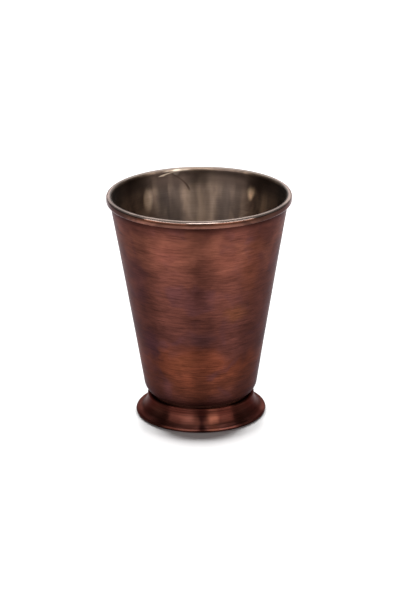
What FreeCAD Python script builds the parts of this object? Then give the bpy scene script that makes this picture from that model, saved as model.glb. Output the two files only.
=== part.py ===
import FreeCAD, Part

import math
import os

# A spun copper julep cup: a tapered beaker with a rolled lip, standing on a hollow flared foot.
# Millimetres and degrees. Z points up. The origin is on the cup's axis, on the surface it stands on.

# Cup
OVERALL_HEIGHT = 110.0       # resting surface to the crown of the lip
RIM_DIAMETER = 88.4          # across the outside of the lip
BASE_DIAMETER = 52.8         # across the outside of the wall, carried down to the floor's underside
WALL_SHEET = 0.7             # copper sheet of the wall, floor and lip
CORNER_RADIUS = 6.3          # outside bend between the floor and the wall
LINING_SHEET = 0.12          # tin over the inside

# Lip: the sheet is rolled outward round a flat-sided wire
LIP_HEIGHT = 3.8             # crown to the bottom of the roll
LIP_WIDTH = 2.6              # inside of the mouth to the outside of the roll
LIP_SEAM = 0.1               # gap left between the end of the sheet and the wall
WIRE_CLEARANCE = 0.02        # between the wire and the sheet, all round

# Foot
FOOT_HEIGHT = 10.0           # resting surface to the underside of the cup's floor
FOOT_SPREAD = 5.1            # how far the foot's edge stands out past the base, each side
FOOT_SHEET = 0.7             # copper sheet of the foot
EDGE_RADIUS = 0.9            # outside bend where the edge turns under
HEM_WIDTH = 3.0              # flat width of the turned-under hem that the cup stands on
NECK_REACH = 4.8             # outside of the foot's neck, past the flat of the cup's floor
NECK_BEND = 1.0              # outside bend between the neck and the flange
FLANGE_WIDTH = 5.0           # flat flange under the cup's floor

# Solder between the foot and the cup
SOLDER_FILM = 0.1            # between the flange and the floor
SOLDER_REACH = 2.8           # past the flat of the floor, into the groove under the bend

AXIS_UP = FreeCAD.Vector(0, 0, 1)
ORIGIN = FreeCAD.Vector(0, 0, 0)
SAME_POINT = 1e-6            # points nearer than this need no straight edge between them


def point(radius, height):
    """A point of a turned section."""
    return FreeCAD.Vector(radius, 0, height)


def arc(centre, radius, first, last):
    """An arc from one angle to another, in degrees up from outward."""
    turns = [math.radians(angle) for angle in (first, (first + last) / 2, last)]
    spots = [centre + point(radius * math.cos(turn), radius * math.sin(turn)) for turn in turns]
    return Part.Arc(*spots).toShape()


def cove(start, between, end):
    """A quarter of an ellipse. Its tangents at both ends meet at the point between them."""
    curve = Part.BezierCurve()
    curve.setPoles([start, between, end])
    curve.setWeight(2, math.sqrt(0.5))
    return curve.toShape()


def turned(outline):
    """Turn a closed section about the axis.

    The outline is a list of arcs, coves and plain points in order. Straight edges join each one to
    the next, and the last one to the first.
    """
    curves = [item for item in outline if isinstance(item, Part.Shape)]
    starts = []
    ends = []
    for item in outline:
        if isinstance(item, Part.Shape):
            starts.append(item.valueAt(item.FirstParameter))
            ends.append(item.valueAt(item.LastParameter))
        else:
            starts.append(item)
            ends.append(item)
    runs = zip(ends, starts[1:] + starts[:1])
    straights = [Part.LineSegment(a, b).toShape() for a, b in runs if (a - b).Length > SAME_POINT]
    wire = Part.Wire(Part.__sortEdges__(curves + straights))
    return Part.Face(wire).revolve(ORIGIN, AXIS_UP, 360)


# Section of the cup, worked out from the sizes above
lip_bottom = OVERALL_HEIGHT - LIP_HEIGHT
lip_round = LIP_WIDTH / 2
lip_inside = lip_round - WALL_SHEET
mouth_radius = RIM_DIAMETER / 2 - LIP_WIDTH
upper_round = point(RIM_DIAMETER / 2 - lip_round, OVERALL_HEIGHT - lip_round)
lower_round = point(RIM_DIAMETER / 2 - lip_round, lip_bottom + lip_round)

base_radius = BASE_DIAMETER / 2
wall_rise = lip_bottom - FOOT_HEIGHT
wall_spread = mouth_radius - base_radius
wall_lean = math.degrees(
    math.atan2(wall_spread, wall_rise) + math.asin(WALL_SHEET / math.hypot(wall_spread, wall_rise))
)
half_lean = math.tan(math.radians(wall_lean / 2))
floor_flat = base_radius - CORNER_RADIUS * math.tan(math.radians((90 - wall_lean) / 2))
corner = point(floor_flat, FOOT_HEIGHT + CORNER_RADIUS)      # centre of the bend
inner_bend = CORNER_RADIUS - WALL_SHEET


def cup_shell():
    """Wall, floor and rolled lip, spun from one sheet."""
    past_bottom = math.degrees(math.asin((lip_inside - LIP_SEAM) / lip_round))
    curl_end = -90 - past_bottom
    return turned([
        point(0, FOOT_HEIGHT),
        arc(corner, CORNER_RADIUS, -90, -wall_lean),
        point(mouth_radius + WALL_SHEET, lip_bottom - WALL_SHEET * half_lean),
        arc(upper_round, lip_inside, 180, 0),
        arc(lower_round, lip_inside, 0, curl_end),
        arc(lower_round, lip_round, curl_end, 0),
        arc(upper_round, lip_round, 0, 180),
        point(mouth_radius, lip_bottom),
        arc(corner, inner_bend, -wall_lean, -90),
        point(0, FOOT_HEIGHT + WALL_SHEET),
    ])


def inner_lining():
    """Tin over the whole inside, ending just inside the crown, where its face is level with it."""
    face_round = lip_round + LINING_SHEET
    crown_edge = 180 - math.degrees(math.asin(lip_round / face_round))
    return turned([
        point(0, FOOT_HEIGHT + WALL_SHEET),
        arc(corner, inner_bend, -90, -wall_lean),
        point(mouth_radius, lip_bottom),
        arc(upper_round, lip_round, 180, crown_edge),
        arc(upper_round, face_round, crown_edge, 180),
        point(mouth_radius - LINING_SHEET, lip_bottom + LINING_SHEET * half_lean),
        arc(corner, inner_bend - LINING_SHEET, -wall_lean, -90),
        point(0, FOOT_HEIGHT + WALL_SHEET + LINING_SHEET),
    ])


def rim_wire():
    """Flat-sided wire that the lip is rolled round."""
    wire_round = lip_inside - WIRE_CLEARANCE
    return turned([
        arc(upper_round, wire_round, 0, 180),
        arc(lower_round, wire_round, 180, 360),
    ])


# Section of the foot
flange_top = FOOT_HEIGHT - SOLDER_FILM
neck_outside = floor_flat + NECK_REACH
neck = point(neck_outside - NECK_BEND, flange_top - NECK_BEND)            # centre of the bend
edge = point(base_radius + FOOT_SPREAD - EDGE_RADIUS, EDGE_RADIUS)        # centre of the bend
flange_inner_radius = neck.x - FLANGE_WIDTH


def foot_side(inward):
    """The foot's concave side, moved in by a distance: level at the brim, upright at the neck."""
    brim = point(edge.x, 2 * EDGE_RADIUS - inward)
    top = point(neck_outside - inward, neck.z)
    return [brim, point(top.x, brim.z), top]


def foot():
    """Hollow flared foot, with a flange on top and a hem turned under its edge."""
    hem_inner_radius = edge.x - HEM_WIDTH
    return turned([
        point(hem_inner_radius, 0),
        arc(edge, EDGE_RADIUS, -90, 90),
        cove(*foot_side(0)),
        arc(neck, NECK_BEND, 0, 90),
        point(flange_inner_radius, flange_top),
        point(flange_inner_radius, flange_top - FOOT_SHEET),
        arc(neck, NECK_BEND - FOOT_SHEET, 90, 0),
        cove(*reversed(foot_side(FOOT_SHEET))),
        arc(edge, EDGE_RADIUS - FOOT_SHEET, 90, -90),
        point(hem_inner_radius, FOOT_SHEET),
    ])


def foot_solder():
    """Solder that fills the flange's joint, and the groove under the cup's rounded corner."""
    reach = math.degrees(math.acos(SOLDER_REACH / CORNER_RADIUS))
    return turned([
        point(flange_inner_radius, flange_top),
        point(floor_flat + SOLDER_REACH, flange_top),
        arc(corner, CORNER_RADIUS, -reach, -90),
        point(flange_inner_radius, FOOT_HEIGHT),
    ])


PIECES = {
    "cup_shell": cup_shell,
    "inner_lining": inner_lining,
    "rim_wire": rim_wire,
    "foot": foot,
    "foot_solder": foot_solder,
}

os.makedirs("parts", exist_ok=True)
for name, make in PIECES.items():
    make().exportStep(f"parts/{name}.step")
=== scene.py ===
"""Looks of a spun copper julep cup: aged, hand-brushed copper outside, dull tin inside.

Everything is in metres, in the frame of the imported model: Z is up, and the cup stands on z = 0.
Patterns and marks on the metal are in millimetres and degrees. Azimuth 0 is the front of the cup,
and 90 is its right.
"""

import logging
import math
from dataclasses import dataclass, field
from enum import Enum
from typing import Callable, Sequence

import bpy
from mathutils import Euler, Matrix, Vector, noise


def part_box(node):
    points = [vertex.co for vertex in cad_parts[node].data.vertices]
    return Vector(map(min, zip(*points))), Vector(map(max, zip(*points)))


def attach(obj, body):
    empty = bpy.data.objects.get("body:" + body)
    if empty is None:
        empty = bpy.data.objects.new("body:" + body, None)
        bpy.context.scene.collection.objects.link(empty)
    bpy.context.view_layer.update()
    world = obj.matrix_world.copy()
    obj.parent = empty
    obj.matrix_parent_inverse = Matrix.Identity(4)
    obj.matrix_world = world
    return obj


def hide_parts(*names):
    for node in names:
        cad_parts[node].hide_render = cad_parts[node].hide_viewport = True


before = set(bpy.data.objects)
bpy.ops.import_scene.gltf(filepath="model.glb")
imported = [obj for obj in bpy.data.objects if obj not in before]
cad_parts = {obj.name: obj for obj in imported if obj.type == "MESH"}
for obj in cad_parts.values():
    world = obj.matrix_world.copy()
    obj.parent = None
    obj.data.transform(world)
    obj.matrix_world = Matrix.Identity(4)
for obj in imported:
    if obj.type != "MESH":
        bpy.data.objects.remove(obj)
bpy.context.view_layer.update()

log = logging.getLogger("julep_cup")

MM = 0.001
BODY = "root"
HALF_TURN = 180.0
SAME_POINT = 1e-7                                # metres, below which two points are one
COLOUR_A, COLOUR_B, COLOUR_RESULT = 6, 7, 2      # the Mix node's sockets for colours

Colour = tuple[float, float, float]
Socket = bpy.types.NodeSocket
Feed = Socket | float | Colour | list[float]
Offset = Callable[[float, Vector], Vector]


# ---- Patterns and marks ----


class Grain(Enum):
    """Which way the fine lines of a finish run, as the shares of x, y and z that its noise sees."""

    ROUND_THE_CUP = (0.06, 0.06, 1.9)
    SHORT_STROKES = (0.13, 0.13, 1.5)
    LONG_PATCHES = (0.55, 0.55, 1.2)
    UPRIGHT = (1.6, 1.6, 0.35)
    EVEN = (1.0, 1.0, 1.0)


@dataclass(frozen=True)
class Pattern:
    """Noise whose spots are about one size."""

    size: float              # of a spot, before the grain stretches it
    grain: Grain
    detail: float = 2.0      # how many finer layers there are
    rough: float = 0.5       # how strong the finer layers are
    warp: float = 0.0        # how much the spots are bent
    seed: float = 0.0        # moves the pattern, so that two of one size differ


@dataclass(frozen=True)
class Ramp:
    """A smooth run of one number as another rises, held at both ends."""

    low: float
    high: float
    at_low: float = 0.0
    at_high: float = 1.0

    def above(self, level: float) -> "Ramp":
        """The same ramp, with its range measured from a level."""
        return Ramp(level + self.low, level + self.high, self.at_low, self.at_high)


@dataclass(frozen=True)
class Relief:
    """How deep a pattern is, in metres, and how much of it shows."""

    depth: float
    strength: float


@dataclass(frozen=True)
class ToneAndPaintedLightPatch:
    """A soft patch of another colour, for tone in the metal and for painted light and shade."""

    azimuth: float
    height: float
    half_angle: float
    half_height: float
    share: float
    colour: Colour


@dataclass(frozen=True)
class ThinLine:
    """A thin line that starts upright at its lower end and bends over as it climbs."""

    azimuth: float
    height: float
    sweep: float             # how far round it goes by its upper end
    rise: float
    width: float             # from its middle to its edge, in degrees
    share: float
    colour: Colour


def add_object(name: str, data: bpy.types.ID) -> bpy.types.Object:
    """Put a mesh, a lamp or a camera in the scene, as a new object."""
    made = bpy.data.objects.new(name, data)
    bpy.context.scene.collection.objects.link(made)
    return made


# ---- Node graphs ----


class Graph:
    """A material's node tree, with short calls for the nodes that the finishes share."""

    MIDDLE = (0.3, 0.7)                          # where most of a pattern's noise lies
    RADIAL_ROTATION = 0.25                       # turns the grain from up the cup to round it
    BLOOM_OUTLINE = Ramp(0.25, 0.75, -0.4, 0.4)  # how far noise moves the edge of a patch
    BLOOM_EDGE = (0.2, 1.25)                     # where a patch starts and ends its fading
    LINE_CORE = 0.3                              # share of a line's width in its full tone
    LINE_START = Ramp(0.0, 0.3)
    LINE_END = Ramp(0.9, 1.05, 1.0, 0.0)

    def __init__(self, name: str) -> None:
        """Start a material with one Principled shader.

        Args:
            name: The material's name.
        """
        self.material = bpy.data.materials.new(name)
        self.material.use_nodes = True
        self.tree = self.material.node_tree
        self.tree.nodes.clear()
        self.shader = self._node("ShaderNodeBsdfPrincipled", {})
        self._node("ShaderNodeOutputMaterial", {"Surface": self.shader.outputs["BSDF"]})
        metres = self._node("ShaderNodeTexCoord", {}).outputs["Object"]
        self.place = self.shade(metres, 1 / MM)
        across, back, self.height = self._node("ShaderNodeSeparateXYZ", {0: self.place}).outputs
        forward = self.math("MULTIPLY", back, -1.0)
        self.azimuth = self.math("DEGREES", self.math("ARCTAN2", across, forward))

    def _node(self, kind: str, feeds: dict[str | int, Feed], **options: object) -> bpy.types.Node:
        """Add a node.

        Args:
            kind: The node's type.
            feeds: The sockets and constants that go into its inputs, by name or number.
            **options: The node's own settings.

        Returns:
            The node.
        """
        node = self.tree.nodes.new(kind)
        for name, value in options.items():
            setattr(node, name, value)
        for place, value in feeds.items():
            target = node.inputs[place]
            if isinstance(value, Socket):
                self.tree.links.new(value, target)
            else:
                target.default_value = (*value, 1.0) if isinstance(value, tuple) else value
        return node

    def set(self, **constants: object) -> None:
        """Set constants on the shader's own sockets, named with underscores for spaces."""
        for name, value in constants.items():
            self.shader.inputs[name.replace("_", " ")].default_value = value

    def join(self, source: Socket, name: str) -> None:
        """Link a socket to the shader's input of that name."""
        self.tree.links.new(source, self.shader.inputs[name])

    def math(self, operation: str, a: Socket | float, b: Socket | float = 0.0) -> Socket:
        """Work out one number from two, by a Math node's operation."""
        return self._node("ShaderNodeMath", {0: a, 1: b}, operation=operation).outputs[0]

    def shade(self, colour: Socket, amount: Socket | float) -> Socket:
        """Multiply a colour, or a vector, by a number."""
        feeds = {0: colour, "Scale": amount}
        return self._node("ShaderNodeVectorMath", feeds, operation="SCALE").outputs[0]

    def mix(self, share: Socket | float, a: Socket | Colour, b: Socket | Colour) -> Socket:
        """Blend two colours, with a share of the second."""
        feeds = {"Factor": share, COLOUR_A: a, COLOUR_B: b}
        return self._node("ShaderNodeMix", feeds, data_type="RGBA").outputs[COLOUR_RESULT]

    def noise(self, pattern: Pattern) -> Socket:
        """Lay a pattern over the metal.

        Args:
            pattern: The size, stretch and detail of its spots.

        Returns:
            The noise's socket, about 0.5 on average.
        """
        moved = self._node("ShaderNodeMapping", {
            "Vector": self.place,
            "Location": [pattern.seed, 2.0 * pattern.seed, 3.0 * pattern.seed],
            "Scale": [share / pattern.size for share in pattern.grain.value],
        })
        return self._node("ShaderNodeTexNoise", {
            "Vector": moved.outputs[0], "Scale": 1.0, "Detail": pattern.detail,
            "Roughness": pattern.rough, "Distortion": pattern.warp,
        }).outputs["Fac"]

    def spread(self, value: Socket, ramp: Ramp) -> Socket:
        """Stretch a number along a ramp.

        Args:
            value: The number to stretch.
            ramp: The range it comes from, and the one it goes to.

        Returns:
            The result's socket.
        """
        return self._node("ShaderNodeMapRange", {
            "Value": value, "From Min": ramp.low, "From Max": ramp.high,
            "To Min": ramp.at_low, "To Max": ramp.at_high,
        }, interpolation_type="SMOOTHSTEP").outputs["Result"]

    def swing(self, value: Socket, depth: float, about: float = 1.0,
              between: tuple[float, float] = MIDDLE) -> Socket:
        """Turn noise into a number that swings about a middle one.

        Args:
            value: The noise.
            depth: How far the number swings each way.
            about: The middle of the swing.
            between: The noise that gives the least, and the noise that gives the most.

        Returns:
            The number's socket.
        """
        return self.spread(value, Ramp(*between, about - depth, about + depth))

    def by_height(self, height: Socket, stops: Sequence[tuple[float, Colour]]) -> Socket:
        """Run smoothly through colours from the bottom of the cup to the top.

        Args:
            height: The height, in millimetres.
            stops: Heights in millimetres, rising, each with its colour.

        Returns:
            The colour's socket.
        """
        low, high = stops[0][0], stops[-1][0]
        share = self.math("DIVIDE", self.math("SUBTRACT", height, low), high - low)
        node = self._node("ShaderNodeValToRGB", {0: share})
        ramp = node.color_ramp
        ramp.interpolation = "EASE"
        while len(ramp.elements) < len(stops):
            ramp.elements.new(0.5)
        for element, (place, colour) in zip(ramp.elements, stops):
            element.position = (place - low) / (high - low)
            element.color = (*colour, 1.0)
        return node.outputs["Color"]

    def _from(self, azimuth: Socket | float) -> Socket:
        """How many degrees round the cup a spot is from an azimuth, either way."""
        return self.math("PINGPONG", self.math("SUBTRACT", self.azimuth, azimuth), HALF_TURN)

    def soft_patch(self, at: ToneAndPaintedLightPatch, ragged: Socket) -> Socket:
        """Mark a soft patch with a ragged outline.

        Args:
            at: Where the patch is, and how large.
            ragged: Noise that roughens its outline.

        Returns:
            How much of the patch there is at a spot, from 0 to 1.
        """
        across = self.math("DIVIDE", self._from(at.azimuth), at.half_angle)
        up = self.math("DIVIDE", self.math("SUBTRACT", self.height, at.height), at.half_height)
        squares = self.math("ADD", self.math("POWER", across, 2.0), self.math("POWER", up, 2.0))
        outline = self.spread(ragged, self.BLOOM_OUTLINE)
        distance = self.math("ADD", self.math("SQRT", squares), outline)
        return self.spread(distance, Ramp(*self.BLOOM_EDGE, at.share, 0.0))

    def tone_and_painted_light_patches(self, colour: Socket, marks: Sequence[ToneAndPaintedLightPatch], ragged: Socket) -> Socket:
        """Lay soft patches over a colour, one after another.

        Args:
            colour: The colour under them.
            marks: The patches.
            ragged: Noise that roughens their outlines.

        Returns:
            The new colour's socket.
        """
        for mark in marks:
            colour = self.mix(self.soft_patch(mark, ragged), colour, mark.colour)
        return colour

    def thin_line(self, at: ThinLine) -> Socket:
        """Mark a thin line that climbs the wall and bends over to one side.

        Args:
            at: Where the line runs, and how wide it is.

        Returns:
            How much of the line there is at a spot, from 0 to 1.
        """
        climb = self.math("DIVIDE", self.math("SUBTRACT", self.height, at.height), at.rise)
        bent = self.math("MULTIPLY", self.math("POWER", climb, 2.0), at.sweep)
        off = self._from(self.math("ADD", bent, at.azimuth))
        across = self.spread(off, Ramp(self.LINE_CORE * at.width, at.width, at.share, 0.0))
        start, end = self.spread(climb, self.LINE_START), self.spread(climb, self.LINE_END)
        return self.math("MULTIPLY", across, self.math("MULTIPLY", start, end))

    def bump(self, height: Socket, relief: Relief, after: Socket | None = None) -> Socket:
        """Turn a height pattern into a bent normal.

        Args:
            height: The pattern, from 0 to 1.
            relief: How deep it is, and how much of it shows.
            after: A normal that this one is added to.

        Returns:
            The normal's socket.
        """
        feeds = {"Height": height, "Distance": relief.depth, "Strength": relief.strength}
        if after is not None:
            feeds["Normal"] = after
        return self._node("ShaderNodeBump", feeds).outputs["Normal"]

    def turned_grain(self) -> None:
        """Run the brush lines round the cup's axis, so that they spread light up and down."""
        tangent = self._node("ShaderNodeTangent", {}, direction_type="RADIAL", axis="Z")
        self.join(tangent.outputs[0], "Tangent")
        self.set(Anisotropic_Rotation=self.RADIAL_ROTATION)


# ---- Finishes ----


@dataclass(frozen=True)
class AgedCopper:
    """Oxidised copper, rubbed back by hand with short strokes round the cup."""

    patina_and_shade_black: Colour = (0.030, 0.009, 0.007)
    patina: Colour = (0.075, 0.025, 0.020)
    umber: Colour = (0.092, 0.027, 0.016)
    brown: Colour = (0.104, 0.034, 0.025)
    copper: Colour = (0.115, 0.038, 0.027)
    rubbed: Colour = (0.162, 0.055, 0.036)
    orange: Colour = (0.128, 0.035, 0.019)
    violet: Colour = (0.077, 0.029, 0.032)
    lip_copper_and_reflection: Colour = (0.200, 0.088, 0.064)
    lip_shoulder_painted_shade: Colour = (0.070, 0.026, 0.015)
    lip_tin_and_highlight: Colour = (0.80, 0.63, 0.55)
    lip_tin_painted_shade: Colour = (0.34, 0.28, 0.25)
    edge: Colour = (0.64, 0.60, 0.62)
    # The patina was rubbed back hardest near the lip, and again above the foot.
    stops: tuple[tuple[float, Colour], ...] = (
        (12.0, patina), (22.0, umber), (31.0, orange), (46.0, patina),
        (64.0, brown), (80.0, copper), (94.0, rubbed), (103.0, brown),
    )
    wander: Pattern = Pattern(20.0, Grain.EVEN, warp=0.4, seed=3.1)
    cool: Pattern = Pattern(13.0, Grain.EVEN, warp=0.6, seed=12.0)
    patches: Pattern = Pattern(8.0, Grain.LONG_PATCHES, 3.0, 0.6, warp=0.5, seed=8.4)
    strokes: Pattern = Pattern(1.0, Grain.SHORT_STROKES, 3.0, 0.65, warp=0.5, seed=1.7)
    dashes: Pattern = Pattern(1.7, Grain.SHORT_STROKES, 1.0, warp=0.3, seed=14.3)
    hairs: Pattern = Pattern(0.34, Grain.ROUND_THE_CUP, rough=0.6, seed=5.2)
    wander_shift: Ramp = Ramp(0.3, 0.7, -6.0, 6.0)
    stroke_shift: Ramp = Ramp(0.2, 0.8, -2.5, 2.5)
    stroke_range: tuple[float, float] = (0.25, 0.75)
    cool_share: Ramp = Ramp(0.52, 0.72, 0.0, 0.55)
    patch_contrast: float = 0.20
    stroke_contrast: float = 0.24
    hair_contrast: float = 0.13
    dash_tone: Ramp = Ramp(0.60, 0.76, 1.0, 0.70)
    # Under the lip, and in the bend above the foot, it is painted dark: partly patina, partly
    # painted shade.
    under_lip: Ramp = Ramp(-3.6, -0.4, 0.0, 0.80)
    above_foot: Ramp = Ramp(10.8, 20.5, 0.80, 0.0)
    # The lip is polished, painted lighter low and darker over its shoulder as painted shade; its
    # tin crown carries a painted highlight.
    lip_start: Ramp = Ramp(-0.05, 0.2)
    shoulder: Ramp = Ramp(1.3, 2.3)
    crown_tin_and_highlight: Ramp = Ramp(-0.90, -0.40, 0.0, 0.9)
    lip_patch_contrast: float = 0.30
    lip_hair_contrast: float = 0.12
    roughness: float = 0.45
    roughness_swing: float = 0.05
    lip_roughness: float = 0.17
    anisotropy: float = 0.88
    hair_relief: Relief = Relief(0.02 * MM, 0.4)
    stroke_relief: Relief = Relief(0.05 * MM, 0.45)
    tone_and_painted_light_patches: tuple[ToneAndPaintedLightPatch, ...] = (
        ToneAndPaintedLightPatch(-24.0, 91.0, 16.0, 8.0, 0.75, (0.171, 0.054, 0.038)),
        ToneAndPaintedLightPatch(20.0, 88.0, 15.0, 8.0, 0.75, (0.167, 0.053, 0.036)),
        ToneAndPaintedLightPatch(40.5, 84.0, 9.0, 17.0, 0.75, (0.170, 0.052, 0.030)),
        ToneAndPaintedLightPatch(30.0, 60.0, 13.0, 5.0, 0.80, (0.135, 0.045, 0.023)),
        ToneAndPaintedLightPatch(-14.0, 35.0, 16.0, 6.0, 0.75, (0.135, 0.039, 0.020)),
        ToneAndPaintedLightPatch(-48.0, 42.0, 12.0, 8.0, 0.65, (0.061, 0.023, 0.031)),
        ToneAndPaintedLightPatch(0.0, 48.0, 14.0, 4.5, 0.65, (0.072, 0.028, 0.028)),
        ToneAndPaintedLightPatch(-52.0, 76.0, 12.0, 12.0, 0.45, (0.081, 0.029, 0.034)),
        ToneAndPaintedLightPatch(0.0, 70.0, 8.0, 16.0, 0.35, (0.077, 0.024, 0.018)),
        ToneAndPaintedLightPatch(165.0, 86.0, 22.0, 9.0, 0.70, (0.169, 0.054, 0.037)),
        ToneAndPaintedLightPatch(-130.0, 44.0, 16.0, 8.0, 0.65, (0.061, 0.023, 0.031)),
        ToneAndPaintedLightPatch(120.0, 36.0, 18.0, 6.0, 0.70, (0.135, 0.039, 0.020)),
    )
    # Painted shade: the lip and the tin on its crown are darker at the sides and back, so that only
    # the front looks lit.
    lip_painted_shade: tuple[ToneAndPaintedLightPatch, ...] = (
        ToneAndPaintedLightPatch(-60.0, 108.0, 30.0, 6.0, 0.90, (0.050, 0.025, 0.019)),
        ToneAndPaintedLightPatch(55.0, 108.0, 28.0, 6.0, 0.85, (0.058, 0.028, 0.021)),
        ToneAndPaintedLightPatch(150.0, 108.0, 40.0, 6.0, 0.80, (0.058, 0.028, 0.021)),
        ToneAndPaintedLightPatch(-140.0, 108.0, 40.0, 6.0, 0.80, (0.058, 0.028, 0.021)),
    )

    def _wall(self, g: Graph, lip: float, patches: Socket, strokes: Socket,
              hairs: Socket) -> Socket:
        """Colour the wall below the lip.

        Args:
            g: The material's graph.
            lip: The height of the bottom of the lip's roll, in millimetres.
            patches: The pattern of wide patches.
            strokes: The pattern of brush strokes.
            hairs: The pattern of the finest lines.

        Returns:
            The wall's colour.
        """
        moved = g.math("ADD", g.height, g.spread(g.noise(self.wander), self.wander_shift))
        moved = g.math("ADD", moved, g.spread(strokes, self.stroke_shift))
        colour = g.by_height(moved, self.stops)
        colour = g.mix(g.spread(g.noise(self.cool), self.cool_share), colour, self.violet)
        colour = g.tone_and_painted_light_patches(colour, self.tone_and_painted_light_patches, patches)
        colour = g.shade(colour, g.swing(patches, self.patch_contrast))
        colour = g.shade(colour, g.swing(strokes, self.stroke_contrast, between=self.stroke_range))
        colour = g.shade(colour, g.spread(g.noise(self.dashes), self.dash_tone))
        colour = g.shade(colour, g.swing(hairs, self.hair_contrast))
        # Painted shade, with patina: darker under the lip and in the bend above the foot.
        under_lip = g.spread(g.height, self.under_lip.above(lip))
        patina_and_painted_shade = g.math("MAXIMUM", under_lip, g.spread(g.height, self.above_foot))
        return g.mix(patina_and_painted_shade, colour, self.patina_and_shade_black)

    def _lip(self, g: Graph, lip: float, patches: Socket, hairs: Socket) -> tuple[Socket, Socket]:
        """Colour the lip's roll.

        Args:
            g: The material's graph.
            lip: The height of the bottom of the lip's roll, in millimetres.
            patches: The pattern of wide patches.
            hairs: The pattern of the finest lines.

        Returns:
            The colour of the copper and of the tin along the crown, with their painted highlight
            and shade.
        """
        # Painted reflection and shade: lighter low on the roll, darker over its shoulder.
        shoulder = g.spread(g.height, self.shoulder.above(lip))
        lip_colour = g.mix(shoulder, self.lip_copper_and_reflection, self.lip_shoulder_painted_shade)
        tin: Socket | Colour = self.lip_tin_and_highlight
        # Painted shade at the sides and back of the lip.
        for soft_patch in self.lip_painted_shade:
            lip_shade_share = g.soft_patch(soft_patch, patches)
            lip_colour = g.mix(lip_shade_share, lip_colour, soft_patch.colour)
            tin = g.mix(lip_shade_share, tin, self.lip_tin_painted_shade)
        lip_colour = g.shade(lip_colour, g.swing(patches, self.lip_patch_contrast))
        return g.shade(lip_colour, g.swing(hairs, self.lip_hair_contrast)), tin

    def material(self, lip_bottom: float, height: float) -> bpy.types.Material:
        """Make the cup's outside finish.

        Args:
            lip_bottom: The height of the bottom of the lip's roll, in metres.
            height: The height of the crown of the lip, in metres.

        Returns:
            The material.
        """
        g = Graph("aged_copper")
        lip, crown = lip_bottom / MM, height / MM
        patches, strokes, hairs = g.noise(self.patches), g.noise(self.strokes), g.noise(self.hairs)
        on_lip = g.spread(g.height, self.lip_start.above(lip))
        lip_colour, tin = self._lip(g, lip, patches, hairs)
        colour = g.mix(on_lip, self._wall(g, lip, patches, strokes, hairs), lip_colour)
        # Tin along the crown, with a painted highlight on its outer side.
        colour = g.mix(g.spread(g.height, self.crown_tin_and_highlight.above(crown)), colour, tin)
        g.join(colour, "Base Color")
        rough = g.swing(strokes, self.roughness_swing, self.roughness, self.stroke_range)
        smoother = g.spread(on_lip, Ramp(0.0, 1.0, 1.0, self.lip_roughness / self.roughness))
        g.join(g.math("MULTIPLY", rough, smoother), "Roughness")
        g.set(Metallic=1.0, Anisotropic=self.anisotropy, Specular_Tint=(*self.edge, 1.0))
        g.turned_grain()
        normal = g.bump(hairs, self.hair_relief)
        g.join(g.bump(strokes, self.stroke_relief, after=normal), "Normal")
        return g.material


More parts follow.
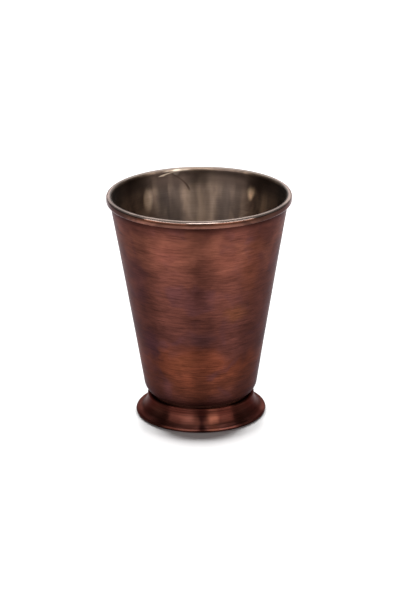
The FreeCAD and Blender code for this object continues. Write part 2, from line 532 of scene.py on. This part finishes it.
@dataclass(frozen=True)
class TurnedCopper:
    """Darkened copper, polished on the spinning lathe so that it keeps fine rings."""

    dark: Colour = (0.042, 0.010, 0.007)
    red: Colour = (0.088, 0.029, 0.020)
    # Brim colour, lighter as a painted reflection.
    brim: Colour = (0.185, 0.068, 0.053)
    edge: Colour = (0.60, 0.50, 0.50)
    patches: Pattern = Pattern(9.0, Grain.LONG_PATCHES, warp=0.4, seed=2.3)
    rings: Pattern = Pattern(1.1, Grain.ROUND_THE_CUP, rough=0.6, seed=6.1)
    red_share: Ramp = Ramp(0.3, 0.7, 0.35, 1.0)
    # Painted reflection: the brim is painted lighter.
    brim_painted_reflection: Ramp = Ramp(1.9, 3.0, 0.9, 0.0)
    # Painted shade: the bottom edge is painted dark, hiding its highlight.
    bottom_edge_painted_shade: Ramp = Ramp(0.9, 1.5, 0.7, 0.0)
    # Painted shade: the neck under the cup is painted dark.
    neck_painted_shade: Ramp = Ramp(-4.2, -2.2, 0.0, 0.70)
    ring_contrast: float = 0.30
    roughness: float = 0.35
    roughness_swing: float = 0.04
    anisotropy: float = 0.96
    ring_relief: Relief = Relief(0.03 * MM, 0.4)
    # Painted reflections and shade: a dark strip straight in front, lighter strips beside it,
    # darker patches at the sides and back.
    tone_and_painted_light_patches: tuple[ToneAndPaintedLightPatch, ...] = (
        ToneAndPaintedLightPatch(-36.0, 5.0, 18.0, 9.0, 0.95, (0.048, 0.014, 0.010)),
        ToneAndPaintedLightPatch(35.0, 5.0, 18.0, 9.0, 0.95, (0.048, 0.013, 0.009)),
        ToneAndPaintedLightPatch(-68.0, 4.0, 22.0, 9.0, 0.85, (0.046, 0.014, 0.011)),
        ToneAndPaintedLightPatch(66.0, 4.0, 22.0, 9.0, 0.85, (0.046, 0.014, 0.011)),
        ToneAndPaintedLightPatch(-12.0, 4.0, 8.0, 9.0, 0.75, (0.112, 0.039, 0.028)),
        ToneAndPaintedLightPatch(12.0, 5.0, 6.0, 20.0, 0.90, (0.150, 0.050, 0.031)),
        ToneAndPaintedLightPatch(0.5, 5.5, 4.4, 20.0, 0.95, (0.026, 0.007, 0.006)),
        ToneAndPaintedLightPatch(-150.0, 5.0, 20.0, 9.0, 0.85, (0.045, 0.012, 0.009)),
        ToneAndPaintedLightPatch(140.0, 5.0, 24.0, 9.0, 0.85, (0.048, 0.013, 0.009)),
    )

    def material(self, foot_height: float) -> bpy.types.Material:
        """Make the foot's finish.

        Args:
            foot_height: The height of the foot, in metres.

        Returns:
            The material.
        """
        g = Graph("turned_copper")
        patches, rings = g.noise(self.patches), g.noise(self.rings)
        colour = g.mix(g.spread(patches, self.red_share), self.dark, self.red)
        # Painted reflection: the brim is lighter.
        colour = g.mix(g.spread(g.height, self.brim_painted_reflection), colour, self.brim)
        # Painted reflections and shade from the patches.
        colour = g.tone_and_painted_light_patches(colour, self.tone_and_painted_light_patches, patches)
        # Painted shade on the bottom edge.
        colour = g.mix(g.spread(g.height, self.bottom_edge_painted_shade), colour, self.dark)
        # Painted shade in the neck under the cup.
        neck_painted_shade = g.spread(g.height, self.neck_painted_shade.above(foot_height / MM))
        colour = g.mix(neck_painted_shade, colour, self.dark)
        g.join(g.shade(colour, g.swing(rings, self.ring_contrast)), "Base Color")
        g.join(g.swing(rings, self.roughness_swing, self.roughness), "Roughness")
        g.set(Metallic=1.0, Anisotropic=self.anisotropy, Specular_Tint=(*self.edge, 1.0))
        g.turned_grain()
        g.join(g.bump(rings, self.ring_relief), "Normal")
        return g.material


@dataclass(frozen=True)
class WipedTin:
    """Tin wiped over the inside while the cup turned: dull and blotchy, with faint rings."""

    pale: Colour = (0.210, 0.148, 0.108)
    dull: Colour = (0.122, 0.085, 0.066)
    tarnish: Colour = (0.050, 0.034, 0.027)
    crown: Colour = (0.22, 0.18, 0.155)
    blotches: Pattern = Pattern(13.0, Grain.EVEN, 3.0, 0.55, warp=0.6, seed=4.4)
    wipes: Pattern = Pattern(9.0, Grain.UPRIGHT, warp=0.3, seed=6.6)
    streaks: Pattern = Pattern(8.0, Grain.UPRIGHT, 1.5, warp=0.3, seed=7.2)
    rings: Pattern = Pattern(0.7, Grain.ROUND_THE_CUP, rough=0.55, seed=9.9)
    pale_share: Ramp = Ramp(0.35, 0.65)
    wipe_contrast: float = 0.12
    ring_contrast: float = 0.08
    # Heights from the crown: tarnish lies under the lip, and the crown is worn bright.
    tarnished: Ramp = Ramp(-12.0, -5.5, 0.0, 0.85)
    below_crown: Ramp = Ramp(-1.9, -0.8, 1.0, 0.0)
    on_crown: Ramp = Ramp(-0.55, -0.15)
    roughness: Ramp = Ramp(0.3, 0.7, 0.30, 0.39)
    anisotropy: float = 0.85
    ring_relief: Relief = Relief(0.03 * MM, 0.35)
    blotch_relief: Relief = Relief(0.20 * MM, 0.30)
    # Painted highlights, reflections and shade: two gold highlights and a fainter one, a pale band
    # at the back, darker bands beside them and under the lip, and the star at the back-left of the
    # crown, painted as a bright glint.
    tone_and_painted_light_patches: tuple[ToneAndPaintedLightPatch, ...] = (
        ToneAndPaintedLightPatch(178.0, 90.0, 10.0, 22.0, 0.95, (0.330, 0.238, 0.177)),
        ToneAndPaintedLightPatch(-161.0, 92.0, 10.0, 30.0, 0.90, (0.058, 0.042, 0.035)),
        ToneAndPaintedLightPatch(-176.0, 94.0, 3.2, 14.0, 0.55, (0.120, 0.087, 0.068)),
        ToneAndPaintedLightPatch(160.0, 92.0, 8.0, 30.0, 0.85, (0.085, 0.062, 0.052)),
        ToneAndPaintedLightPatch(151.0, 92.0, 4.0, 30.0, 0.80, (0.090, 0.065, 0.053)),
        ToneAndPaintedLightPatch(-152.0, 95.0, 7.5, 18.0, 0.95, (0.052, 0.038, 0.032)),
        ToneAndPaintedLightPatch(-154.0, 104.0, 14.0, 4.5, 0.85, (0.036, 0.025, 0.020)),
        ToneAndPaintedLightPatch(148.0, 104.5, 13.0, 4.5, 0.80, (0.042, 0.029, 0.023)),
        ToneAndPaintedLightPatch(-141.5, 97.5, 5.4, 4.8, 0.90, (0.600, 0.450, 0.330)),
        ToneAndPaintedLightPatch(140.8, 100.2, 4.4, 3.4, 1.00, (0.900, 0.670, 0.460)),
        ToneAndPaintedLightPatch(127.0, 93.0, 4.0, 9.0, 0.90, (0.360, 0.250, 0.170)),
        ToneAndPaintedLightPatch(-165.0, 109.0, 8.0, 0.9, 0.95, (0.500, 0.410, 0.330)),
        ToneAndPaintedLightPatch(-164.0, 108.2, 2.6, 1.3, 0.95, (0.620, 0.510, 0.410)),
    )
    # A dark curved line running down from the star, and a pale arm of the star, painted as a glint.
    thin_lines: tuple[ThinLine, ...] = (
        ThinLine(-173.5, 97.5, 12.0, 10.0, 1.2, 0.80, (0.035, 0.022, 0.016)),
        ThinLine(-153.5, 106.6, -8.5, 1.7, 3.0, 0.80, (0.420, 0.330, 0.250)),
    )

    def material(self, height: float) -> bpy.types.Material:
        """Make the lining's finish.

        Args:
            height: The height of the lip's crown, in metres.

        Returns:
            The material.
        """
        g = Graph("wiped_tin")
        crown = height / MM
        blotches, rings = g.noise(self.blotches), g.noise(self.rings)
        colour = g.mix(g.spread(blotches, self.pale_share), self.dull, self.pale)
        # Painted highlights, reflections and shade.
        colour = g.tone_and_painted_light_patches(colour, self.tone_and_painted_light_patches, g.noise(self.streaks))
        colour = g.shade(colour, g.swing(g.noise(self.wipes), self.wipe_contrast))
        colour = g.shade(colour, g.swing(rings, self.ring_contrast))
        near_lip = g.spread(g.height, self.tarnished.above(crown))
        below = g.spread(g.height, self.below_crown.above(crown))
        colour = g.mix(g.math("MULTIPLY", near_lip, below), colour, self.tarnish)
        # A dark line, and an arm of the painted glint.
        for thin_line in self.thin_lines:
            colour = g.mix(g.thin_line(thin_line), colour, thin_line.colour)
        colour = g.mix(g.spread(g.height, self.on_crown.above(crown)), colour, self.crown)
        g.join(colour, "Base Color")
        g.join(g.spread(blotches, self.roughness), "Roughness")
        g.set(Metallic=1.0, Anisotropic=self.anisotropy)
        g.turned_grain()
        normal = g.bump(rings, self.ring_relief)
        g.join(g.bump(blotches, self.blotch_relief, after=normal), "Normal")
        return g.material


@dataclass(frozen=True)
class DullSolder:
    """Soft solder, blackened in the groove above the foot."""

    grey: Colour = (0.045, 0.016, 0.011)
    dark: Colour = (0.022, 0.008, 0.006)
    edge: Colour = (0.34, 0.18, 0.15)
    lumps: Pattern = Pattern(1.6, Grain.EVEN, 3.0, 0.6, warp=0.5, seed=7.7)
    grey_share: Ramp = Ramp(0.35, 0.7)
    roughness: float = 0.55
    roughness_rise: float = 0.2
    relief: Relief = Relief(0.15 * MM, 0.6)

    def material(self) -> bpy.types.Material:
        """Make the solder's finish.

        Returns:
            The material.
        """
        g = Graph("dull_solder")
        lumps = g.noise(self.lumps)
        g.join(g.mix(g.spread(lumps, self.grey_share), self.dark, self.grey), "Base Color")
        rise = g.math("MULTIPLY", lumps, self.roughness_rise)
        g.join(g.math("ADD", self.roughness, rise), "Roughness")
        g.set(Metallic=1.0, Specular_Tint=(*self.edge, 1.0))
        g.join(g.bump(lumps, self.relief), "Normal")
        return g.material


@dataclass(frozen=True)
class DrawnCopper:
    """Plain copper wire with faint die lines along it."""

    copper: Colour = (0.60, 0.27, 0.17)
    tarnish: Colour = (0.24, 0.095, 0.060)
    die_lines: Pattern = Pattern(0.25, Grain.ROUND_THE_CUP, seed=11.0)
    stains: Pattern = Pattern(5.0, Grain.EVEN, rough=0.6, seed=2.9)
    tarnish_share: Ramp = Ramp(0.4, 0.7)
    roughness: float = 0.2
    roughness_rise: float = 0.15
    relief: Relief = Relief(0.02 * MM, 0.4)

    def material(self) -> bpy.types.Material:
        """Make the wire's finish.

        Returns:
            The material.
        """
        g = Graph("drawn_copper")
        die_lines = g.noise(self.die_lines)
        tarnished = g.spread(g.noise(self.stains), self.tarnish_share)
        g.join(g.mix(tarnished, self.copper, self.tarnish), "Base Color")
        rise = g.math("MULTIPLY", die_lines, self.roughness_rise)
        g.join(g.math("ADD", self.roughness, rise), "Roughness")
        g.set(Metallic=1.0)
        g.join(g.bump(die_lines, self.relief), "Normal")
        return g.material


@dataclass(frozen=True)
class FloorPaper:
    """Matt white backdrop paper."""

    white: Colour = (0.86, 0.86, 0.86)
    shade: Colour = (0.83, 0.83, 0.83)
    fibre: Pattern = Pattern(0.8, Grain.EVEN)
    roughness: float = 0.9
    shine: float = 0.1

    def material(self) -> bpy.types.Material:
        """Make the floor's finish.

        Returns:
            The material.
        """
        g = Graph("floor_paper")
        g.join(g.mix(g.noise(self.fibre), self.white, self.shade), "Base Color")
        g.set(Roughness=self.roughness, Specular_IOR_Level=self.shine)
        return g.material


# ---- Turned meshes ----


@dataclass
class Section:
    """A closed section of a turned piece, as points of radius and height walked round once."""

    finest: float = 1.6 * MM
    points: list[Vector] = field(default_factory=list)

    def to(self, radius: float, height: float) -> None:
        """Add a point, with a straight run to it from the last one, cut into short steps.

        Args:
            radius: The point's distance from the axis.
            height: The point's height.
        """
        target = Vector((radius, height))
        if self.points:
            start = self.points[-1]
            steps = max(1, math.ceil((target - start).length / self.finest))
            self.points += [start.lerp(target, step / steps) for step in range(1, steps)]
        if not self.points or (target - self.points[-1]).length > SAME_POINT:
            self.points.append(target)

    def bend(self, centre: Vector, radius: float, first: float, last: float,
             every: float = 8.0) -> None:
        """Add an arc, with a straight run to its start.

        Args:
            centre: The arc's centre.
            radius: The arc's radius.
            first: The angle it starts at, in degrees up from outward.
            last: The angle it ends at.
            every: The most that one step turns, in degrees.
        """
        steps = max(1, math.ceil(abs(last - first) / every))
        for step in range(steps + 1):
            turn = math.radians(first + (last - first) * step / steps)
            spot = centre + radius * Vector((math.cos(turn), math.sin(turn)))
            if step == 0:
                self.to(*spot)
            else:
                self.points.append(spot)

    def cove(self, start: Vector, between: Vector, end: Vector, steps: int = 22) -> None:
        """Add a quarter of an ellipse, with a straight run to its start.

        Args:
            start: Where the curve starts.
            between: Where its tangents at both ends meet.
            end: Where the curve ends.
            steps: How many straight steps stand for it.
        """
        centre = start + end - between
        first, last = start - centre, end - centre
        self.to(*start)
        for step in range(1, steps + 1):
            turn = math.pi / 2 * step / steps
            self.points.append(centre + math.cos(turn) * first + math.sin(turn) * last)


@dataclass
class Lathe:
    """Turns sections into smooth closed meshes."""

    around: int = 288
    crease: float = 35.0

    def turn(self, name: str, section: Section, offset: Offset) -> bpy.types.Object:
        """Turn a section about the axis.

        Args:
            name: The new object's name.
            section: The section. A point on the axis becomes a single vertex.
            offset: Gives each point's small shift from its angle and its place in the section.

        Returns:
            The new object.
        """
        vertices: list[tuple[float, float, float]] = []
        rings: list[list[int]] = []
        for point in section.points:
            count = 1 if point.x < SAME_POINT else self.around
            ring = []
            for index in range(count):
                angle = math.tau * index / self.around
                moved = point if count == 1 else point + offset(angle, point)
                ring.append(len(vertices))
                vertices.append((moved.x * math.cos(angle), moved.x * math.sin(angle), moved.y))
            rings.append(ring)
        faces = []
        for lower, upper in zip(rings, rings[1:] + rings[:1]):
            faces += self._strip(lower, upper)
        mesh = bpy.data.meshes.new(name)
        mesh.from_pydata(vertices, [], faces)
        mesh.validate()
        mesh.shade_smooth()
        mesh.set_sharp_from_angle(angle=math.radians(self.crease))
        return add_object(name, mesh)

    def _strip(self, lower: Sequence[int], upper: Sequence[int]) -> list[tuple[int, ...]]:
        """Join two rings, either of which may be a single vertex.

        Args:
            lower: The first ring.
            upper: The next ring along the section.

        Returns:
            The faces between them.
        """
        if len(lower) == 1 and len(upper) == 1:
            return []
        faces: list[tuple[int, ...]] = []
        for index in range(self.around):
            after = (index + 1) % self.around
            if len(lower) == 1:
                faces.append((lower[0], upper[after], upper[index]))
            elif len(upper) == 1:
                faces.append((lower[index], lower[after], upper[0]))
            else:
                faces.append((lower[index], lower[after], upper[after], upper[index]))
        return faces


def round_noise(angle: float, fast: float, up: float) -> float:
    """Noise that meets itself after a turn.

    Args:
        angle: The angle round the axis, in radians.
        fast: How fast it changes round the axis.
        up: The place up the axis, in the noise's own steps.

    Returns:
        The noise, from -1 to 1.
    """
    return noise.noise(Vector((fast * math.cos(angle), fast * math.sin(angle), up)))


@dataclass
class HandWork:
    """The slight unevenness that spinning and hammering leave.

    It is deepest halfway up the wall, and nothing at its ends.
    """

    wander: float = 0.07 * MM
    wander_round: float = 1.3        # how fast the noise changes round the cup
    wander_up: float = 22.0          # and up it, for each metre
    dents: float = 0.05 * MM
    dents_round: float = 4.5
    dents_up: float = 95.0
    bow: float = 0.16 * MM

    def shift(self, angle: float, height: float, bottom: float, top: float) -> float:
        """How far the wall stands in or out at a spot.

        Args:
            angle: The angle round the axis, in radians.
            height: The spot's height.
            bottom: Where the wall starts.
            top: Where the wall ends.

        Returns:
            The shift outward, in metres.
        """
        share = min(1.0, max(0.0, (height - bottom) / (top - bottom)))
        wide = round_noise(angle, self.wander_round, height * self.wander_up)
        close = round_noise(angle, self.dents_round, height * self.dents_up)
        return math.sin(math.pi * share) * (self.wander * wide + self.dents * close - self.bow)


# ---- The cup's own sub-assemblies ----


def dress(piece: bpy.types.Object, material: bpy.types.Material) -> None:
    """Give a piece one material."""
    piece.data.materials.clear()
    piece.data.materials.append(material)


@dataclass
class Beaker:
    """The tapered wall and floor with its rolled lip, its tin lining and the wire in the lip."""

    wall_sheet: float = 0.7 * MM
    lining_sheet: float = 0.12 * MM
    base_radius: float = 26.4 * MM
    corner_radius: float = 6.3 * MM
    lip_height: float = 3.8 * MM
    lip_width: float = 2.6 * MM
    lip_seam: float = 0.1 * MM
    corner_step: float = 4.0         # degrees that one step of the corner turns
    hand_work: HandWork = field(default_factory=HandWork)
    lathe: Lathe = field(default_factory=Lathe)

    def __post_init__(self) -> None:
        """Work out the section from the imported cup's height, width and floor."""
        low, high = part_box("cup_shell")
        self.floor = low.z
        self.top = high.z
        rim = high.x
        self.lip_bottom = self.top - self.lip_height
        self.lip_round = self.lip_width / 2
        self.lip_inside = self.lip_round - self.wall_sheet
        self.mouth = rim - self.lip_width
        self.upper = Vector((rim - self.lip_round, self.top - self.lip_round))
        self.lower = Vector((rim - self.lip_round, self.lip_bottom + self.lip_round))
        rise = self.lip_bottom - self.floor
        spread = self.mouth - self.base_radius
        lean = math.atan2(spread, rise) + math.asin(self.wall_sheet / math.hypot(spread, rise))
        self.lean = math.degrees(lean)
        self.half_lean = math.tan(lean / 2)
        flat = self.base_radius - self.corner_radius * math.tan((math.pi / 2 - lean) / 2)
        self.corner = Vector((flat, self.floor + self.corner_radius))

    def _offset(self, angle: float, point: Vector) -> Vector:
        """Shift a point of the wall by the hand work, and leave the floor and the lip alone.

        Args:
            angle: The angle round the axis, in radians.
            point: The point of the section.

        Returns:
            The shift.
        """
        outward = self.hand_work.shift(angle, point.y, self.corner.y, self.lip_bottom)
        return Vector((outward, 0.0))

    def shell(self) -> bpy.types.Object:
        """Turn the copper wall, floor and lip.

        Returns:
            The shell.
        """
        past = math.degrees(math.asin((self.lip_inside - self.lip_seam) / self.lip_round))
        curl = -90 - past
        bend = self.corner_radius - self.wall_sheet
        section = Section()
        section.to(0.0, self.floor)
        section.bend(self.corner, self.corner_radius, -90, -self.lean, self.corner_step)
        section.to(self.mouth + self.wall_sheet, self.lip_bottom - self.wall_sheet * self.half_lean)
        section.bend(self.upper, self.lip_inside, 180, 0)
        section.bend(self.lower, self.lip_inside, 0, curl)
        section.bend(self.lower, self.lip_round, curl, 0)
        section.bend(self.upper, self.lip_round, 0, 180)
        section.to(self.mouth, self.lip_bottom)
        section.bend(self.corner, bend, -self.lean, -90, self.corner_step)
        section.to(0.0, self.floor + self.wall_sheet)
        return self.lathe.turn("copper_shell", section, self._offset)

    def lining(self) -> bpy.types.Object:
        """Turn the tin lining.

        Returns:
            The lining.
        """
        face = self.lip_round + self.lining_sheet
        crown = 180 - math.degrees(math.asin(self.lip_round / face))
        bend = self.corner_radius - self.wall_sheet
        section = Section()
        section.to(0.0, self.floor + self.wall_sheet)
        section.bend(self.corner, bend, -90, -self.lean, self.corner_step)
        section.to(self.mouth, self.lip_bottom)
        section.bend(self.upper, self.lip_round, 180, crown)
        section.bend(self.upper, face, crown, 180)
        section.to(
            self.mouth - self.lining_sheet, self.lip_bottom + self.lining_sheet * self.half_lean
        )
        section.bend(self.corner, bend - self.lining_sheet, -self.lean, -90, self.corner_step)
        section.to(0.0, self.floor + self.wall_sheet + self.lining_sheet)
        return self.lathe.turn("tin_lining", section, self._offset)

    def build(self) -> bpy.types.Object:
        """Make, dress and place every piece of the beaker.

        Returns:
            The lining.
        """
        shell = self.shell()
        dress(shell, AgedCopper().material(self.lip_bottom, self.top))
        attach(shell, BODY)
        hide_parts("cup_shell")
        log.info("copper shell: %d faces", len(shell.data.polygons))
        lining = self.lining()
        dress(lining, WipedTin().material(self.top))
        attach(lining, BODY)
        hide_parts("inner_lining")
        log.info("tin lining: %d faces", len(lining.data.polygons))
        dress(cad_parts["rim_wire"], DrawnCopper().material())
        log.info("rim wire dressed")
        return lining


@dataclass
class Pedestal:
    """The hollow flared foot and the solder that holds it to the cup."""

    sheet: float = 0.7 * MM
    spread: float = 5.1 * MM
    edge_radius: float = 0.9 * MM
    hem_width: float = 3.0 * MM
    neck_reach: float = 4.8 * MM
    neck_bend: float = 1.0 * MM
    flange_width: float = 5.0 * MM
    finest: float = 0.35 * MM        # the longest step of its section
    ring_depth: float = 0.03 * MM
    ring_wobble: float = 0.6         # how fast a ring's depth changes round the foot
    rings_up: float = 900.0          # and from ring to ring, for each metre
    rings_start: float = 1.5 * MM    # height where the rings start
    rings_fade: float = 2.0 * MM     # height over which they reach their depth
    lathe: Lathe = field(default_factory=Lathe)

    def _offset(self, angle: float, point: Vector) -> Vector:
        """Shift a point by the faint rings that the polishing tool left.

        Args:
            angle: The angle round the axis, in radians.
            point: The point of the section.

        Returns:
            The shift.
        """
        ring = round_noise(angle, self.ring_wobble, point.y * self.rings_up)
        fade = min(1.0, max(0.0, (point.y - self.rings_start) / self.rings_fade))
        return Vector((-self.ring_depth * fade * (0.5 + 0.5 * ring), 0.0))

    def _side(self, edge: float, outside: float, top: float,
              inward: float) -> tuple[Vector, Vector, Vector]:
        """Find the concave side: level at the brim, upright at the neck.

        Args:
            edge: The radius where it leaves the brim.
            outside: The radius of the neck.
            top: The height where it meets the neck's bend.
            inward: How far the side is moved in.

        Returns:
            Its start, where its tangents at both ends meet, and its end.
        """
        brim = Vector((edge, 2 * self.edge_radius - inward))
        high = Vector((outside - inward, top))
        return brim, Vector((high.x, brim.y)), high

    def turned_foot(self, beaker: Beaker) -> bpy.types.Object:
        """Turn the foot under a beaker.

        Args:
            beaker: The beaker that it carries.

        Returns:
            The foot.
        """
        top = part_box("foot")[1].z
        outside = beaker.corner.x + self.neck_reach
        neck = Vector((outside - self.neck_bend, top - self.neck_bend))
        edge = Vector((beaker.base_radius + self.spread - self.edge_radius, self.edge_radius))
        hem = edge.x - self.hem_width
        flange = neck.x - self.flange_width
        section = Section(self.finest)
        section.to(hem, 0.0)
        section.bend(edge, self.edge_radius, -90, 90)
        section.cove(*self._side(edge.x, outside, neck.y, 0.0))
        section.bend(neck, self.neck_bend, 0, 90)
        section.to(flange, top)
        section.to(flange, top - self.sheet)
        section.bend(neck, self.neck_bend - self.sheet, 90, 0)
        section.cove(*reversed(self._side(edge.x, outside, neck.y, self.sheet)))
        section.bend(edge, self.edge_radius - self.sheet, 90, -90)
        section.to(hem, self.sheet)
        return self.lathe.turn("copper_foot", section, self._offset)

    def build(self, beaker: Beaker) -> bpy.types.Object:
        """Make, dress and place the foot and the solder.

        Args:
            beaker: The beaker that the foot carries.

        Returns:
            The foot.
        """
        foot = self.turned_foot(beaker)
        dress(foot, TurnedCopper().material(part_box("foot")[1].z))
        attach(foot, BODY)
        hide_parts("foot")
        log.info("copper foot: %d faces", len(foot.data.polygons))
        dress(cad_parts["foot_solder"], DullSolder().material())
        log.info("foot solder dressed")
        return foot


# ---- Studio ----


def direction(azimuth: float, elevation: float) -> Vector:
    """The way to something seen from the cup.

    Args:
        azimuth: Degrees round from the front, towards the right.
        elevation: Degrees above the floor.

    Returns:
        A unit vector.
    """
    a, e = math.radians(azimuth), math.radians(elevation)
    return Vector((math.sin(a) * math.cos(e), -math.cos(a) * math.cos(e), math.sin(e)))


class Lights(Enum):
    """What a lamp shines on."""

    CUP = "cup"
    INSIDE = "inside"
    FLOOR = "floor"


Groups = dict[Lights, bpy.types.Collection]


@dataclass
class Softbox:
    """A flat rectangular lamp that faces the cup."""

    name: str
    azimuth: float
    elevation: float
    distance: float
    width: float
    height: float
    radiance: float
    lights: Lights

    def build(self, target: Vector, lit: Groups, blockers: Groups) -> None:
        """Hang the lamp.

        Args:
            target: The spot that it faces.
            lit: What each kind of lamp shines on.
            blockers: What throws a shadow from a kind of lamp, where that isn't everything.
        """
        lamp = bpy.data.lights.new(self.name, "AREA")
        lamp.shape = "RECTANGLE"
        lamp.size = self.width
        lamp.size_y = self.height
        lamp.energy = self.radiance * math.pi * self.width * self.height
        holder = add_object(self.name, lamp)
        back = direction(self.azimuth, self.elevation)
        holder.location = target + self.distance * back
        holder.rotation_mode = "QUATERNION"
        holder.rotation_quaternion = (-back).to_track_quat("-Z", "Y")
        holder.visible_camera = False
        holder.light_linking.receiver_collection = lit[self.lights]
        if self.lights in blockers:
            holder.light_linking.blocker_collection = blockers[self.lights]


@dataclass
class Studio:
    """Pale floor, soft lamps and the camera."""

    floor_radius: float = 3.0
    floor_sides: int = 96
    surround: float = 0.19
    camera_distance: float = 1.2
    camera_elevation: float = 20.09
    camera_height: float = 56.14 * MM
    camera_roll: float = -0.52
    camera_reach: float = 20.0
    lens: float = 149.67
    sensor: float = 36.0
    boxes: tuple[Softbox, ...] = (
        Softbox("left_softbox", -41.5, 18.0, 0.95, 0.95, 0.62, 4.3, Lights.CUP),
        Softbox("right_softbox", 42.5, 18.0, 0.95, 0.88, 0.62, 4.7, Lights.CUP),
        Softbox("front_softbox", 5.0, 48.0, 1.00, 0.50, 0.42, 3.4, Lights.CUP),
        Softbox("back_softbox", 180.0, 34.0, 1.30, 1.6, 1.0, 0.8, Lights.CUP),
        Softbox("overhead_softbox", 0.0, 90.0, 1.45, 3.0, 3.0, 1.95, Lights.INSIDE),
        Softbox("left_floor_lamp", 194.0, 25.5, 4.0, 1.2, 1.4, 45.0, Lights.FLOOR),
        Softbox("right_floor_lamp", 166.0, 25.5, 4.0, 1.2, 1.4, 45.0, Lights.FLOOR),
    )

    def build(self, lining: bpy.types.Object, foot: bpy.types.Object) -> None:
        """Set up the whole studio.

        Args:
            lining: The cup's inside, which is all that the overhead softbox lights.
            foot: The one piece that throws a shadow from the floor lamps.
        """
        cup = [item for item in bpy.data.objects if item.type == "MESH"]
        floor = self._floor()
        self._surround()
        lit = {
            Lights.CUP: self._group("lit_cup", cup),
            Lights.INSIDE: self._group("lit_inside", [lining]),
            Lights.FLOOR: self._group("lit_floor", [floor]),
        }
        blockers = {Lights.FLOOR: self._group("floor_blockers", [foot])}
        for box in self.boxes:
            box.build(Vector((0.0, 0.0, self.camera_height)), lit, blockers)
            log.info("lamp %s", box.name)
        self._camera()
        view = bpy.context.scene.view_settings
        view.view_transform = "Standard"
        view.look = "None"

    def _group(self, name: str, members: Sequence[bpy.types.Object]) -> bpy.types.Collection:
        """Gather objects that some lamps treat alike.

        Args:
            name: The group's name.
            members: The objects in it.

        Returns:
            The group.
        """
        group = bpy.data.collections.new(name)
        for member in members:
            group.objects.link(member)
        return group

    def _floor(self) -> bpy.types.Object:
        """Lay the floor under the foot.

        Returns:
            The floor.
        """
        turns = [math.tau * index / self.floor_sides for index in range(self.floor_sides)]
        rim = [
            (self.floor_radius * math.cos(turn), self.floor_radius * math.sin(turn), 0.0)
            for turn in turns
        ]
        mesh = bpy.data.meshes.new("floor")
        mesh.from_pydata(rim, [], [tuple(range(len(rim)))])
        floor = add_object("floor", mesh)
        dress(floor, FloorPaper().material())
        return floor

    def _surround(self) -> None:
        """Fill the room with soft even light."""
        world = bpy.data.worlds.new("surround")
        world.use_nodes = True
        background = world.node_tree.nodes["Background"]
        background.inputs["Color"].default_value = (1.0, 1.0, 1.0, 1.0)
        background.inputs["Strength"].default_value = self.surround
        bpy.context.scene.world = world

    def _camera(self) -> None:
        """Place the camera and aim it at the cup's axis."""
        lens = bpy.data.cameras.new("camera")
        lens.lens = self.lens
        lens.sensor_width = self.sensor
        lens.clip_end = self.camera_reach
        camera = add_object("camera", lens)
        back = direction(0.0, self.camera_elevation)
        camera.location = Vector((0.0, 0.0, self.camera_height)) + self.camera_distance * back
        camera.rotation_mode = "QUATERNION"
        roll = Euler((0.0, 0.0, math.radians(self.camera_roll)))
        camera.rotation_quaternion = (-back).to_track_quat("-Z", "Y") @ roll.to_quaternion()
        bpy.context.scene.camera = camera


def main() -> None:
    """Build the cup and its studio."""
    logging.basicConfig(level=logging.INFO, format="%(name)s: %(message)s")
    beaker = Beaker()
    lining = beaker.build()
    foot = Pedestal().build(beaker)
    Studio().build(lining, foot)


if __name__ == "__main__":
    main()
